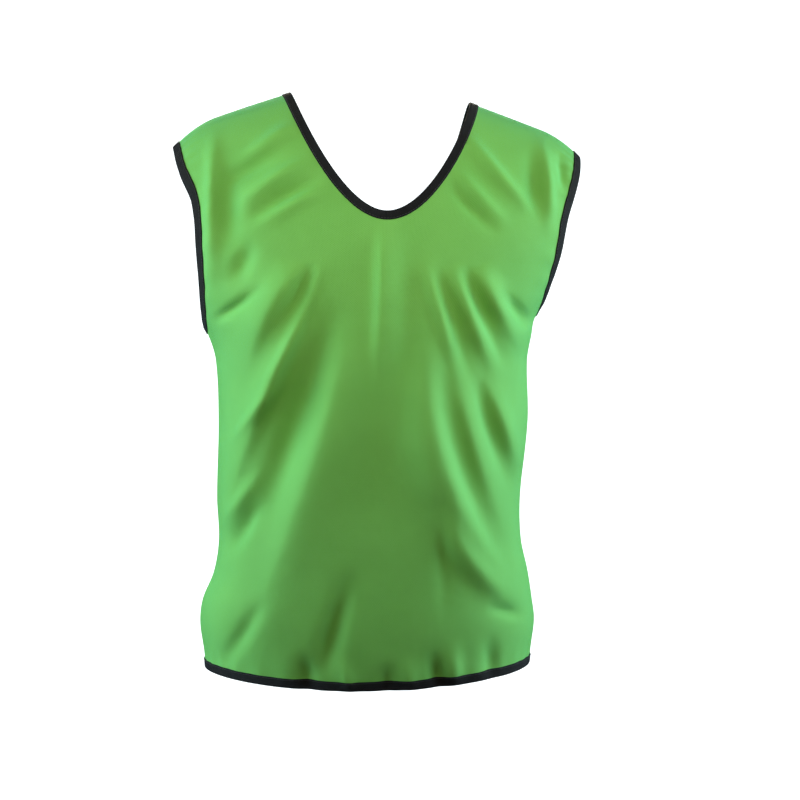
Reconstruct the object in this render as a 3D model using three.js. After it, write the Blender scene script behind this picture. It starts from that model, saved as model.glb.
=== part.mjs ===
// Mesh training bib: a sleeveless V-neck pullover of fine mesh cloth, in its worn, hollow form.
// Millimetres, +Z up, front towards -Y. The origin is midway between the neck points of the shoulder seams.
import * as THREE from "three";

// Cloth and binding
const WALL = 1.2;
const SEAM_GAP = 0.3;
const BINDING_WIDTH = 10;
const BINDING_WALL = 1;
const BINDING_GAP = 0.35;

// Shoulder line: it falls from the neck points to the shoulder ends, and the left shoulder rides higher
const NECK_HALF_WIDTH = 106;
const NECK_MIDDLE = 6;
const NECK_POINT_HEIGHT = -2;
const SHOULDER_SLOPE = 0.38;
const SHOULDER_SOFTNESS = 60;
const SHOULDER_ROUND_FROM = 190;
const SHOULDER_ROUND_RADIUS = 75;
const SHOULDER_TILT = 6;
const SHOULDER_END = -64;

// The form stands upright below the spring line and arches over to the shoulder seam above it
const SPRING = -275;
const ARCH_LENGTH = 300;
const FULLNESS = 0.2;

// Outline by height: how far the form reaches left, right, to the front and to the back of the middle plane
const OUTLINE = [
  { height: -700, left: 199, right: 181, front: 106, back: 98, middle: -7 },
  { height: -655, left: 201, right: 184, front: 110, back: 102, middle: -7 },
  { height: -617, left: 206, right: 189, front: 111, back: 103, middle: -7 },
  { height: -590, left: 203, right: 186, front: 110, back: 102, middle: -7 },
  { height: -558, left: 190, right: 181, front: 108, back: 100, middle: -7 },
  { height: -520, left: 184, right: 173, front: 107, back: 98, middle: -8 },
  { height: -470, left: 186, right: 172, front: 106, back: 96, middle: -8 },
  { height: -380, left: 184, right: 181, front: 110, back: 98, middle: -6 },
  { height: -310, left: 187, right: 180, front: 116, back: 103, middle: -4 },
  { height: -280, left: 196, right: 185, front: 118, back: 106, middle: -2 },
  { height: -262, left: 207, right: 189, front: 118, back: 108, middle: 0 },
  { height: -239, left: 219, right: 205, front: 118, back: 111, middle: 2 },
  { height: -192, left: 238, right: 237, front: 117, back: 116, middle: 5 },
  { height: -140, left: 248, right: 258, front: 115, back: 120, middle: 6 },
  { height: -98, left: 265, right: 272, front: 113, back: 120, middle: 6 },
  { height: -64, left: 273, right: 279, front: 112, back: 118, middle: 6 },
];

// Armholes: the lowest point of each, and how far its front and back edges swing in from the side
const ARMHOLE = {
  left: { sign: -1, bottom: -272 },
  right: { sign: 1, bottom: -253 },
};
const ARMHOLE_SWING = THREE.MathUtils.degToRad(30);
const ARMHOLE_ROUNDING = 105;

// Hem: height of its cut edge at the middle, and how far it rises to the side seams, more so at the right
const HEM_MIDDLE = -682;
const HEM_RISE = 14.5;
const HEM_TILT = 1;

// Neck openings: lowest point, and the handles of the curve from there to the neck point of the shoulder
const NECK = {
  front: { depth: -142, bottomHandle: 42, topHandleAcross: 86, topHandleHeight: -60 },
  back: { depth: -142, bottomHandle: 62, topHandleAcross: 97, topHandleHeight: -76 },
};

// Cells of each panel: columns from the middle to a side, rows below and above the foot of the neck opening
const CELLS = {
  front: { columns: 20, lower: 28, upper: 20 },
  back: { columns: 12, lower: 18, upper: 14 },
};

// Folds: soft ridges (depth above 0) and troughs (below 0) along a line seen from the front, bowed sideways.
// Lean makes the flank at the viewer's right narrower, and peak is where along the line the depth is full.
const FOLDS = {
  front: [
    { fromX: 32, fromZ: -190, toX: 56, toZ: -650, bow: 0, width: 46, depth: 9, lean: 0, peak: 0.45 },
    { fromX: -34, fromZ: -270, toX: -64, toZ: -660, bow: 0, width: 44, depth: 7, lean: 0, peak: 0.4 },
    { fromX: 2, fromZ: -156, toX: -6, toZ: -350, bow: 0, width: 12, depth: 6, lean: -0.35, peak: 0.35 },
    { fromX: 26, fromZ: -165, toX: 24, toZ: -430, bow: 3, width: 17, depth: -4, lean: 0, peak: 0.4 },
    { fromX: -90, fromZ: -203, toX: -156, toZ: -340, bow: -10, width: 16, depth: 11, lean: 0.3, peak: 0.35 },
    { fromX: -76, fromZ: -203, toX: -132, toZ: -340, bow: 4, width: 11, depth: -8, lean: 0, peak: 0.35 },
    { fromX: -68, fromZ: -204, toX: -188, toZ: -500, bow: 0, width: 14, depth: 13, lean: 0.35, peak: 0.35 },
    { fromX: -46, fromZ: -226, toX: -156, toZ: -545, bow: 1, width: 17, depth: -13, lean: 0, peak: 0.45 },
    { fromX: -33, fromZ: -280, toX: -158, toZ: -660, bow: 6, width: 24, depth: 9, lean: -0.3, peak: 0.4 },
    { fromX: -142, fromZ: -172, toX: -170, toZ: -230, bow: 0, width: 11, depth: -5.5, lean: 0, peak: 0.5 },
    { fromX: 45, fromZ: -198, toX: 88, toZ: -345, bow: 0, width: 10, depth: 4.5, lean: 0, peak: 0.35 },
    { fromX: 58, fromZ: -203, toX: 106, toZ: -345, bow: 0, width: 10, depth: -4.5, lean: 0, peak: 0.35 },
    { fromX: 74, fromZ: -203, toX: 136, toZ: -340, bow: -3, width: 10, depth: 6, lean: 0, peak: 0.35 },
    { fromX: 92, fromZ: -203, toX: 154, toZ: -330, bow: -4, width: 10, depth: -6, lean: 0, peak: 0.35 },
    { fromX: 106, fromZ: -206, toX: 170, toZ: -306, bow: -3, width: 12, depth: 9, lean: -0.3, peak: 0.35 },
    { fromX: 40, fromZ: -290, toX: 168, toZ: -598, bow: -34, width: 22, depth: 14, lean: 0.25, peak: 0.45 },
    { fromX: 60, fromZ: -305, toX: 162, toZ: -566, bow: -23, width: 12, depth: -8, lean: 0, peak: 0.5 },
    { fromX: 78, fromZ: -312, toX: 156, toZ: -525, bow: -10, width: 13, depth: 10, lean: -0.2, peak: 0.4 },
    { fromX: 104, fromZ: -325, toX: 164, toZ: -475, bow: -6, width: 10, depth: -4.5, lean: 0, peak: 0.4 },
    { fromX: 118, fromZ: -322, toX: 168, toZ: -450, bow: -2, width: 12, depth: 8, lean: -0.3, peak: 0.5 },
    { fromX: -188, fromZ: -44, toX: -192, toZ: -260, bow: 0, width: 10, depth: 4.5, lean: 0, peak: 0.4 },
    { fromX: -176, fromZ: -55, toX: -170, toZ: -195, bow: 0, width: 14, depth: -7, lean: 0, peak: 0.6 },
    { fromX: -90, fromZ: -38, toX: -166, toZ: -96, bow: -2, width: 10, depth: 5.5, lean: 0, peak: 0.4 },
    { fromX: -98, fromZ: -64, toX: -184, toZ: -114, bow: -2, width: 10, depth: -5.5, lean: 0, peak: 0.6 },
    { fromX: -74, fromZ: -80, toX: -174, toZ: -146, bow: -3, width: 10, depth: 6, lean: 0, peak: 0.4 },
    { fromX: -60, fromZ: -114, toX: -150, toZ: -166, bow: -2, width: 10, depth: 3, lean: 0, peak: 0.4 },
    { fromX: 99, fromZ: -48, toX: 188, toZ: -148, bow: -6, width: 10, depth: 4.5, lean: 0, peak: 0.4 },
    { fromX: 84, fromZ: -90, toX: 152, toZ: -160, bow: -4, width: 10, depth: 3, lean: 0, peak: 0.4 },
    { fromX: 192, fromZ: -42, toX: 197, toZ: -170, bow: 0, width: 10, depth: 4.5, lean: 0, peak: 0.5 },
    { fromX: 178, fromZ: -60, toX: 182, toZ: -155, bow: 0, width: 12, depth: -6, lean: 0, peak: 0.5 },
    { fromX: -27, fromZ: -540, toX: -56, toZ: -660, bow: -3, width: 13, depth: -5, lean: 0, peak: 0.5 },
    { fromX: 62, fromZ: -410, toX: 72, toZ: -620, bow: 0, width: 10, depth: -2, lean: 0, peak: 0.5 },
    { fromX: -138, fromZ: -594, toX: -184, toZ: -658, bow: 0, width: 10, depth: -4, lean: 0, peak: 0.5 },
  ],
  back: [
    { fromX: 0, fromZ: -160, toX: 4, toZ: -380, bow: 3, width: 20, depth: -4, lean: 0, peak: 0.5 },
    { fromX: -70, fromZ: -190, toX: -176, toZ: -430, bow: 6, width: 13, depth: 7, lean: 0, peak: 0.35 },
    { fromX: -52, fromZ: -210, toX: -150, toZ: -470, bow: 8, width: 15, depth: -7, lean: 0, peak: 0.4 },
    { fromX: -36, fromZ: -260, toX: -140, toZ: -600, bow: 12, width: 24, depth: 6.5, lean: 0, peak: 0.4 },
    { fromX: -96, fromZ: -205, toX: -166, toZ: -300, bow: -6, width: 11, depth: -4.5, lean: 0, peak: 0.5 },
    { fromX: 66, fromZ: -195, toX: 168, toZ: -420, bow: -6, width: 13, depth: 7, lean: 0, peak: 0.35 },
    { fromX: 48, fromZ: -215, toX: 150, toZ: -480, bow: -10, width: 15, depth: -7, lean: 0, peak: 0.4 },
    { fromX: 34, fromZ: -270, toX: 148, toZ: -610, bow: -16, width: 22, depth: 6.5, lean: 0, peak: 0.4 },
    { fromX: 98, fromZ: -210, toX: 170, toZ: -300, bow: 4, width: 11, depth: -4.5, lean: 0, peak: 0.5 },
    { fromX: -20, fromZ: -420, toX: -50, toZ: -676, bow: 6, width: 22, depth: -4, lean: 0, peak: 0.5 },
    { fromX: 30, fromZ: -450, toX: 58, toZ: -676, bow: -6, width: 22, depth: 4.5, lean: 0, peak: 0.5 },
    { fromX: -84, fromZ: -560, toX: -110, toZ: -680, bow: 0, width: 15, depth: -4, lean: 0, peak: 0.6 },
    { fromX: 104, fromZ: -570, toX: 120, toZ: -680, bow: 0, width: 15, depth: -4, lean: 0, peak: 0.6 },
    { fromX: -100, fromZ: -50, toX: -186, toZ: -130, bow: 3, width: 12, depth: 5, lean: 0, peak: 0.4 },
    { fromX: -90, fromZ: -90, toX: -180, toZ: -170, bow: 3, width: 12, depth: -4, lean: 0, peak: 0.5 },
    { fromX: 102, fromZ: -52, toX: 190, toZ: -136, bow: -3, width: 12, depth: 5, lean: 0, peak: 0.4 },
    { fromX: 88, fromZ: -94, toX: 178, toZ: -172, bow: -3, width: 12, depth: -4, lean: 0, peak: 0.5 },
  ],
};

const FOLD_END_SHARPNESS = 1.5;

// Cosines of the turn from a side seam and from the shoulder seam at which the folds have their full depth
const SIDE_FADE = 0.4;
const SHOULDER_FADE = 0.3;

// Colours and finish
const MESH_CLOTH = { color: 0x69ac58, roughness: 0.75, metalness: 0 };
const DARK_BINDING = { color: 0x1d1d20, roughness: 0.65, metalness: 0 };

const QUARTER_TURN = Math.PI / 2;
const NUMERIC_STEP = 1e-4;
const EDGE_SAMPLES = 400;
const KEYS_PER_RADIAN = 1e5;
const KEYS_PER_MM = 1e3;
const { lerp, smoothstep } = THREE.MathUtils;

// A column of the outline at a height, by a smooth curve through its rows
function outlineAt(column, height) {
  const last = OUTLINE.length - 1;
  let index = 0;
  while (index < last - 1 && height > OUTLINE[index + 1].height) index += 1;
  const slopeAt = (row) => {
    const below = OUTLINE[Math.max(row - 1, 0)];
    const above = OUTLINE[Math.min(row + 1, last)];
    return (above[column] - below[column]) / (above.height - below.height);
  };
  const low = OUTLINE[index];
  const high = OUTLINE[index + 1];
  const span = high.height - low.height;
  const t = (height - low.height) / span;
  const t2 = t * t;
  const t3 = t2 * t;
  return (2 * t3 - 3 * t2 + 1) * low[column] + (t3 - 2 * t2 + t) * span * slopeAt(index)
    + (3 * t2 - 2 * t3) * high[column] + (t3 - t2) * span * slopeAt(index + 1);
}

// Height of the shoulder seam above a place across
function ridgeHeight(x) {
  const fromMiddle = x - NECK_MIDDLE;
  const run = Math.hypot(fromMiddle, SHOULDER_SOFTNESS) - Math.hypot(NECK_HALF_WIDTH, SHOULDER_SOFTNESS);
  const rounded = Math.max(Math.abs(fromMiddle) - SHOULDER_ROUND_FROM, 0) ** 2 / (2 * SHOULDER_ROUND_RADIUS);
  const tilt = SHOULDER_TILT * Math.tanh(fromMiddle / NECK_HALF_WIDTH);
  return NECK_POINT_HEIGHT - SHOULDER_SLOPE * run - rounded - tilt;
}

// A place on the cloth is an angle round the body, 0 at the middle and a quarter turn at a side seam, and a
// level: the length up the cloth from the spring line, ending at the shoulder seam
const archTurn = (level) => (Math.max(level, 0) / ARCH_LENGTH) * QUARTER_TURN;
const outlineHeight = (level) =>
  level < 0 ? SPRING + level : SPRING + (SHOULDER_END - SPRING) * Math.sin(archTurn(level));

function formPoint(face, angle, level) {
  const height = outlineHeight(level);
  const turn = archTurn(level);
  const middle = outlineAt("middle", height);
  const reach = angle < 0 ? outlineAt("left", height) + middle : outlineAt("right", height) - middle;
  const x = middle + reach * Math.sin(angle);
  const full = Math.cos(angle) * (1 + FULLNESS * Math.sin(angle) ** 2);
  const depth = face === "front" ? -outlineAt("front", height) : outlineAt("back", height);
  const z = level < 0 ? height : SPRING + (ridgeHeight(x) - SPRING) * Math.sin(turn);
  return new THREE.Vector3(x, depth * full * Math.cos(turn), z);
}

function formSlopes(face, angle, level) {
  const reach = NUMERIC_STEP * ARCH_LENGTH;
  const round = formPoint(face, angle + NUMERIC_STEP, level)
    .sub(formPoint(face, angle - NUMERIC_STEP, level)).divideScalar(2 * NUMERIC_STEP);
  const up = formPoint(face, angle, level + reach)
    .sub(formPoint(face, angle, level - reach)).divideScalar(2 * reach);
  const normal = round.clone().cross(up).normalize().multiplyScalar(face === "front" ? 1 : -1);
  return { round, up, normal };
}

// How far the folds lift the cloth off the smooth form, none at the side and shoulder seams
function foldRelief(face, angle, level) {
  const point = formPoint(face, angle, level);
  let lift = 0;
  for (const fold of FOLDS[face]) {
    const alongX = fold.toX - fold.fromX;
    const alongZ = fold.toZ - fold.fromZ;
    const length = Math.hypot(alongX, alongZ);
    const t = ((point.x - fold.fromX) * alongX + (point.z - fold.fromZ) * alongZ) / length ** 2;
    if (t <= 0 || t >= 1) continue;
    const aside = ((point.x - fold.fromX) * -alongZ + (point.z - fold.fromZ) * alongX) / length
      - fold.bow * 4 * t * (1 - t);
    const offset = aside / (fold.width * (1 - fold.lean * Math.sign(aside)));
    const taper = Math.sin(Math.PI * t ** (Math.log(0.5) / Math.log(fold.peak)));
    lift += fold.depth * taper ** FOLD_END_SHARPNESS * Math.exp(-offset * offset);
  }
  const awayFromSide = smoothstep(Math.cos(angle), 0, SIDE_FADE);
  const awayFromShoulder = smoothstep(Math.cos(archTurn(level)), 0, SHOULDER_FADE);
  return lift * awayFromSide * awayFromShoulder;
}

// The place on the cloth of a point seen from the front
function locate(x, z) {
  const turn = z < SPRING ? 0 : Math.asin(Math.min(1, (z - SPRING) / (ridgeHeight(x) - SPRING)));
  const level = z < SPRING ? z - SPRING : (turn / QUARTER_TURN) * ARCH_LENGTH;
  const height = outlineHeight(level);
  const middle = outlineAt("middle", height);
  const reach = x < middle ? outlineAt("left", height) + middle : outlineAt("right", height) - middle;
  return { angle: Math.asin((x - middle) / reach), level };
}

const levelOf = (height) => {
  if (height < SPRING) return height - SPRING;
  return (Math.asin((height - SPRING) / (SHOULDER_END - SPRING)) / QUARTER_TURN) * ARCH_LENGTH;
};

// The cut edges of a panel, each a function of t from 0 to 1
function neckEdge(face, sign) {
  const cut = NECK[face];
  const end = ridgeHeight(NECK_MIDDLE + sign * NECK_HALF_WIDTH);
  const points = [[0, cut.depth], [cut.bottomHandle, cut.depth], [cut.topHandleAcross, cut.topHandleHeight],
    [NECK_HALF_WIDTH, 0]].map(([across, height]) => new THREE.Vector2(across, height));
  const curve = new THREE.CubicBezierCurve(...points);
  return (t) => {
    const seen = curve.getPoint(t * (2 - t));
    const height = lerp(end, cut.depth, seen.y / cut.depth);
    const place = locate(NECK_MIDDLE + sign * seen.x, height);
    return t === 1 ? { angle: place.angle, level: ARCH_LENGTH } : place;
  };
}

function armholeEdge(side) {
  const { sign, bottom } = ARMHOLE[side];
  const bottomLevel = levelOf(bottom);
  return (t) => {
    const rise = (ARCH_LENGTH - bottomLevel) * t * t;
    const rounded = 1 - Math.min(rise / ARMHOLE_ROUNDING, 1);
    const swing = ARMHOLE_SWING * Math.sqrt(1 - rounded * rounded);
    return { angle: sign * (QUARTER_TURN - swing), level: bottomLevel + rise };
  };
}

function hemLevel(angle) {
  const across = Math.sin(angle);
  return HEM_MIDDLE + HEM_RISE * across * across + HEM_TILT * across - SPRING;
}

// Places along an edge at equal steps of its real length
function spread(face, edge, count) {
  const places = [];
  const lengths = [0];
  for (let i = 0; i <= EDGE_SAMPLES; i += 1) {
    places.push(edge(i / EDGE_SAMPLES));
    if (i > 0) {
      const from = formPoint(face, places[i - 1].angle, places[i - 1].level);
      lengths.push(lengths[i - 1] + from.distanceTo(formPoint(face, places[i].angle, places[i].level)));
    }
  }
  const result = [];
  for (let k = 0; k <= count; k += 1) {
    const wanted = (lengths[EDGE_SAMPLES] * k) / count;
    let i = 1;
    while (i < EDGE_SAMPLES && lengths[i] < wanted) i += 1;
    const part = (wanted - lengths[i - 1]) / (lengths[i] - lengths[i - 1]);
    result.push({
      angle: lerp(places[i - 1].angle, places[i].angle, part),
      level: lerp(places[i - 1].level, places[i].level, part),
    });
  }
  return result;
}

// One binding width straight down the cloth from a place
function below(face, { angle, level }) {
  return { angle, level: level - BINDING_WIDTH / formSlopes(face, angle, level).up.length() };
}

// The places one binding width in from an edge, square to it; fixed keeps the ends on the panel's own seams
function insetPlaces(face, places, towards, fixed) {
  return places.map((place, i) => {
    const before = places[Math.max(i - 1, 0)];
    const after = places[Math.min(i + 1, places.length - 1)];
    const along = formPoint(face, after.angle, after.level).sub(formPoint(face, before.angle, before.level));
    const { round, up, normal } = formSlopes(face, place.angle, place.level);
    const inward = normal.cross(along).normalize();
    if (inward.dot(towards) < 0) inward.negate();
    inward.multiplyScalar(BINDING_WIDTH);
    const a = round.dot(round);
    const b = round.dot(up);
    const c = up.dot(up);
    const p = inward.dot(round);
    const q = inward.dot(up);
    const det = a * c - b * b;
    const moved = { angle: place.angle + (p * c - q * b) / det, level: place.level + (q * a - p * b) / det };
    return fixed(moved, i);
  });
}

const lerpPlace = (from, to, t) => ({
  angle: lerp(from.angle, to.angle, t),
  level: lerp(from.level, to.level, t),
});

// A row runs from the neck or the middle out to the armhole or the side seam, easing level as it turns
function rowPlace(from, to, t) {
  const angle = lerp(from.angle, to.angle, t);
  const [turned, begun, done] = [angle, from.angle, to.angle]
    .map((turn) => 1 - (1 - Math.abs(turn) / QUARTER_TURN) ** 2);
  return { angle, level: lerp(from.level, to.level, (turned - begun) / (done - begun)) };
}

// A sheet of cloth: shared points on its outer face, their partners on its inner face, and its triangles
class Sheet {
  constructor(face) {
    this.face = face;
    this.keys = new Map();
    this.outer = [];
    this.inner = [];
    this.normals = [];
    this.triangles = [];
  }

  point({ angle, level }) {
    const key = `${Math.round(angle * KEYS_PER_RADIAN)} ${Math.round(level * KEYS_PER_MM)}`;
    if (!this.keys.has(key)) {
      const { outer, normal } = this.clothPoint({ angle, level });
      this.keys.set(key, this.outer.length);
      this.outer.push(outer);
      this.inner.push(outer.clone().addScaledVector(normal, -WALL));
      this.normals.push(normal);
    }
    return this.keys.get(key);
  }

  // Cells between rows of places; a fitted one is split along the diagonal that lies closer to the cloth
  patch(rows, fitted = false) {
    for (let r = 1; r < rows.length; r += 1) {
      for (let c = 1; c < rows[r].length; c += 1) {
        const cell = [rows[r - 1][c - 1], rows[r - 1][c], rows[r][c], rows[r][c - 1]];
        const corners = cell.map((place) => this.point(place));
        if (fitted && this.otherDiagonalFits(cell, corners)) corners.push(corners.shift());
        this.triangle(corners[0], corners[1], corners[2]);
        this.triangle(corners[0], corners[2], corners[3]);
      }
    }
  }

  otherDiagonalFits(cell, corners) {
    const centre = lerpPlace(lerpPlace(cell[0], cell[2], 0.5), lerpPlace(cell[1], cell[3], 0.5), 0.5);
    const onCloth = this.clothPoint(centre).outer;
    const miss = (a, b) =>
      this.outer[corners[a]].clone().lerp(this.outer[corners[b]], 0.5).distanceTo(onCloth);
    return miss(1, 3) < miss(0, 2);
  }

  clothPoint({ angle, level }) {
    const { normal } = formSlopes(this.face, angle, level);
    const outer = formPoint(this.face, angle, level)
      .addScaledVector(normal, foldRelief(this.face, angle, level));
    outer.y += (this.face === "front" ? -SEAM_GAP : SEAM_GAP) / 2;
    return { outer, normal };
  }

  triangle(a, b, c) {
    if (a === b || b === c || c === a) return;
    const outward = this.normals[a].clone().add(this.normals[b]).add(this.normals[c]);
    const facing = new THREE.Triangle(this.outer[a], this.outer[b], this.outer[c])
      .getNormal(new THREE.Vector3()).dot(outward);
    this.triangles.push(facing > 0 ? [a, b, c] : [a, c, b]);
  }

  // The closed wall between the two faces
  wall() {
    const count = this.outer.length;
    const faces = [];
    const edges = new Set();
    for (const [a, b, c] of this.triangles) {
      faces.push([a, b, c], [a + count, c + count, b + count]);
      for (const [from, to] of [[a, b], [b, c], [c, a]]) edges.add(`${from} ${to}`);
    }
    for (const edge of edges) {
      const [from, to] = edge.split(" ").map(Number);
      if (!edges.has(`${to} ${from}`)) faces.push([to, from, from + count], [to, from + count, to + count]);
    }
    return solid([...this.outer, ...this.inner], faces);
  }
}

function solid(points, faces) {
  const geometry = new THREE.BufferGeometry().setFromPoints(points);
  geometry.setIndex(faces.flat());
  geometry.computeVertexNormals();
  return geometry;
}

// One panel and the pairs of places along its edges that the bindings fold over
function buildPanel(face) {
  const { columns, lower, upper } = CELLS[face];
  const sheet = new Sheet(face);
  const edges = {};
  const inner = {};
  const outer = {};
  const onSeam = (place) => ({ angle: place.angle, level: ARCH_LENGTH });
  for (const [side, { sign }] of Object.entries(ARMHOLE)) {
    const neck = spread(face, neckEdge(face, sign), upper);
    neck[0] = { angle: 0, level: neck[0].level };
    inner[side] = insetPlaces(face, neck, new THREE.Vector3(sign, 0, -1), (moved, i) => {
      if (i === 0) return below(face, neck[0]);
      return i === upper ? onSeam(moved) : moved;
    });
    const arm = spread(face, armholeEdge(side), upper);
    outer[side] = insetPlaces(face, arm, new THREE.Vector3(-2 * sign, 0, -1), (moved, i) => {
      if (i === 0) return below(face, arm[0]);
      return i === upper ? onSeam(moved) : moved;
    });
    edges[`${side}Neck`] = neck.map((place, i) => ({ edge: place, far: inner[side][i] }));
    edges[`${side}Arm`] = arm.map((place, i) => ({ edge: place, far: outer[side][i] }));
    sheet.patch([neck, inner[side]]);
    sheet.patch([arm, outer[side]]);
    sheet.patch(inner[side].map((start, row) =>
      fractions(columns).map((t) => rowPlace(start, outer[side][row], t))), true);
  }
  const top = [...fractions(columns).reverse().map((t) => rowPlace(inner.left[0], outer.left[0], t)),
    ...fractions(columns).slice(1).map((t) => rowPlace(inner.right[0], outer.right[0], t))];
  const hem = top.map(({ angle }) => ({ edge: { angle, level: hemLevel(angle) },
    far: { angle, level: hemLevel(angle) + BINDING_WIDTH } }));
  edges.hem = hem;
  sheet.patch([hem.map(({ edge }) => edge), hem.map(({ far }) => far)]);
  sheet.patch(fractions(lower).map((t) => top.map((place, c) => lerpPlace(hem[c].far, place, t))), true);
  return { sheet, edges };
}

function fractions(count) {
  return Array.from({ length: count + 1 }, (_, i) => i / count);
}

// The sides of a binding's section that run from the cut edge into the panel
const LEGS_INWARD = [4, 8];

// The stations of a binding along one panel's edge: its section's corners, from the panel's own points
function bindingStations(sheet, pairs, forward) {
  return pairs.map(({ edge, far }) => {
    const near = sheet.point(edge);
    const back = sheet.point(far);
    const outward = sheet.outer[near].clone().sub(sheet.outer[back]).normalize();
    const at = (index, onOuter, lift, out) => (onOuter ? sheet.outer : sheet.inner)[index].clone()
      .addScaledVector(sheet.normals[index], onOuter ? lift : -lift).addScaledVector(outward, out);
    const full = BINDING_GAP + BINDING_WALL;
    const section = [
      at(back, true, full, 0), at(near, true, full, 0), at(near, true, 0, full),
      at(near, false, 0, full), at(near, false, full, 0), at(back, false, full, 0),
      at(back, false, BINDING_GAP, 0), at(near, false, BINDING_GAP, BINDING_GAP),
      at(near, true, BINDING_GAP, BINDING_GAP), at(back, true, BINDING_GAP, 0),
    ];
    return { section, forward };
  });
}

// A closed loop of sections, its legs split into triangles along the same diagonals as the panel under them
function loop(stations) {
  const corners = stations[0].section.length;
  const faces = [];
  stations.forEach(({ forward }, s) => {
    const next = (s + 1) % stations.length;
    for (let k = 0; k < corners; k += 1) {
      const a = s * corners + k;
      const b = s * corners + ((k + 1) % corners);
      const c = next * corners + ((k + 1) % corners);
      const d = next * corners + k;
      if (LEGS_INWARD.includes(k) === forward) faces.push([a, b, c], [a, c, d]);
      else faces.push([b, c, d], [b, d, a]);
    }
  });
  const points = stations.flatMap(({ section }) => section);
  const volume = faces.reduce((sum, [a, b, c]) => sum + points[a].dot(points[b].clone().cross(points[c])), 0);
  return solid(points, volume > 0 ? faces : faces.map(([a, b, c]) => [a, c, b]));
}

function piece(name, geometry, finish) {
  const mesh = new THREE.Mesh(geometry, new THREE.MeshStandardMaterial(finish));
  mesh.name = name;
  return mesh;
}

const front = buildPanel("front");
const back = buildPanel("back");
const along = (panel, key) => bindingStations(panel.sheet, panel.edges[key], true);
const against = (panel, key) => bindingStations(panel.sheet, panel.edges[key].toReversed(), false);

const neckLoop = () => loop([
  ...against(front, "leftNeck"), ...along(front, "rightNeck").slice(1),
  ...against(back, "rightNeck"), ...along(back, "leftNeck").slice(1),
]);
const armholeLoop = (side) => loop([...along(front, `${side}Arm`), ...against(back, `${side}Arm`)]);
const hemLoop = () => loop([...along(front, "hem"), ...against(back, "hem")]);

const bib = new THREE.Group();
bib.add(
  piece("front_panel", front.sheet.wall(), MESH_CLOTH),
  piece("back_panel", back.sheet.wall(), MESH_CLOTH),
  piece("neck_binding", neckLoop(), DARK_BINDING),
  piece("left_armhole_binding", armholeLoop("left"), DARK_BINDING),
  piece("right_armhole_binding", armholeLoop("right"), DARK_BINDING),
  piece("hem_binding", hemLoop(), DARK_BINDING),
);

export default bib;
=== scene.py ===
"""Mesh training bib: fine cloth shells, folded binding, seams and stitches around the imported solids."""
import math

import bpy
import numpy as np
from mathutils import Matrix


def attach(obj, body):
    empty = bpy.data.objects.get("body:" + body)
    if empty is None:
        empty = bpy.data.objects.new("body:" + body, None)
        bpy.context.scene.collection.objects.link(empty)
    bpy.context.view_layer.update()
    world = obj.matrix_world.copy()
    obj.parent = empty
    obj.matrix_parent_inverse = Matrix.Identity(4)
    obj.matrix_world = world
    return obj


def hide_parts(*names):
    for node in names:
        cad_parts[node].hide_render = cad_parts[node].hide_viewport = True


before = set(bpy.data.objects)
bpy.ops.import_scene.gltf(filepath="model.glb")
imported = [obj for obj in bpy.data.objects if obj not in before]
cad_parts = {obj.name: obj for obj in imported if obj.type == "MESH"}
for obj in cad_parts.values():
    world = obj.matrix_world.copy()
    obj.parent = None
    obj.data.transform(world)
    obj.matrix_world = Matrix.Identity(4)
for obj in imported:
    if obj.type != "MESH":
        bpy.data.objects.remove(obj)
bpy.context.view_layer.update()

MM = 0.001
QUARTER = math.pi / 2

# Sizes of the cut and the worn form, in millimetres and radians, the same as in the solids
SEAM_GAP = 0.3
BINDING_WIDTH = 10
NECK_HALF_WIDTH = 106
NECK_MIDDLE = 6
NECK_POINT_HEIGHT = -2
SHOULDER_SLOPE = 0.38
SHOULDER_SOFTNESS = 60
SHOULDER_ROUND_FROM = 190
SHOULDER_ROUND_RADIUS = 75
SHOULDER_TILT = 6
# The cloth hangs straight below the spring and turns over above it, along an arch up to the shoulder seam
SPRING = -275
ARCH_LENGTH = 300
SHOULDER_END = -64
FULLNESS = 0.2
# At each height, how far the form reaches to the viewer's left and right, forward and back, and its middle
OUTLINE_COLUMNS = ("height", "left", "right", "front", "back", "middle")
OUTLINE = np.array([
    (-700, 199, 181, 106, 98, -7),
    (-655, 201, 184, 110, 102, -7),
    (-617, 206, 189, 111, 103, -7),
    (-590, 203, 186, 110, 102, -7),
    (-558, 190, 181, 108, 100, -7),
    (-520, 184, 173, 107, 98, -8),
    (-470, 186, 172, 106, 96, -8),
    (-380, 184, 181, 110, 98, -6),
    (-310, 187, 180, 116, 103, -4),
    (-280, 196, 185, 118, 106, -2),
    (-262, 207, 189, 118, 108, 0),
    (-239, 219, 205, 118, 111, 2),
    (-192, 238, 237, 117, 116, 5),
    (-140, 248, 258, 115, 120, 6),
    (-98, 265, 272, 113, 120, 6),
    (-64, 273, 279, 112, 118, 6),
], dtype=float)
# Each armhole's side across and the height of its foot
ARMHOLE = {"left": (-1, -272), "right": (1, -253)}
ARMHOLE_SWING = math.radians(30)
ARMHOLE_ROUNDING = 105
HEM_MIDDLE = -682
HEM_RISE = 14.5
HEM_TILT = 1
# The neck's depth, how far out its curve leaves the middle, and how far out and how high it nears its end
NECK = {"front": (-142, 42, 86, -60), "back": (-142, 62, 97, -76)}

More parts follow.
